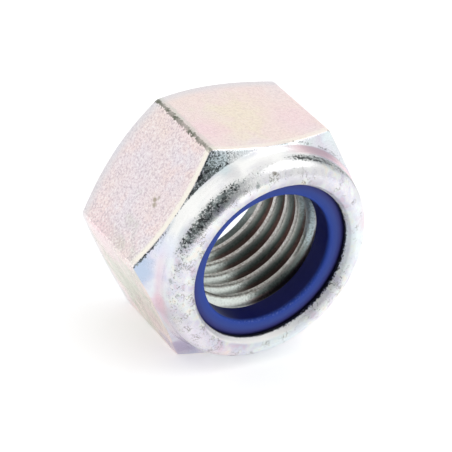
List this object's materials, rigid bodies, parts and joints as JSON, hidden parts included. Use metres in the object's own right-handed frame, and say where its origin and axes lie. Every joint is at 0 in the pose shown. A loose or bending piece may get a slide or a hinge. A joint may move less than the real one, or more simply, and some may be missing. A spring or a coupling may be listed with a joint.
{
  "type": "lock nut",
  "caption": "Hexagon lock nut with a rolled collar that holds a blue nylon ring against the thread, so the nut grips its bolt and doesn't work loose.",
  "frame": {"origin": "centre of the bearing face, on the thread's axis", "axes": "+Y along the thread's axis out of the bearing face, the way a bolt leaves, so the collar is towards -Y; +Z square out of the upper flat, with the nut lying on the opposite flat"},
  "size_m": [0.0344, 0.02, 0.03],
  "materials": {
    "zinc_plated_steel": "bright zinc plate with a thin, pale iridescent passivation",
    "blue_nylon": "moulded nylon, smooth and slightly translucent"
  },
  "bodies": {
    "root": {"steel_body": "zinc_plated_steel", "nylon_ring": "blue_nylon"}
  },
  "joints": []
}
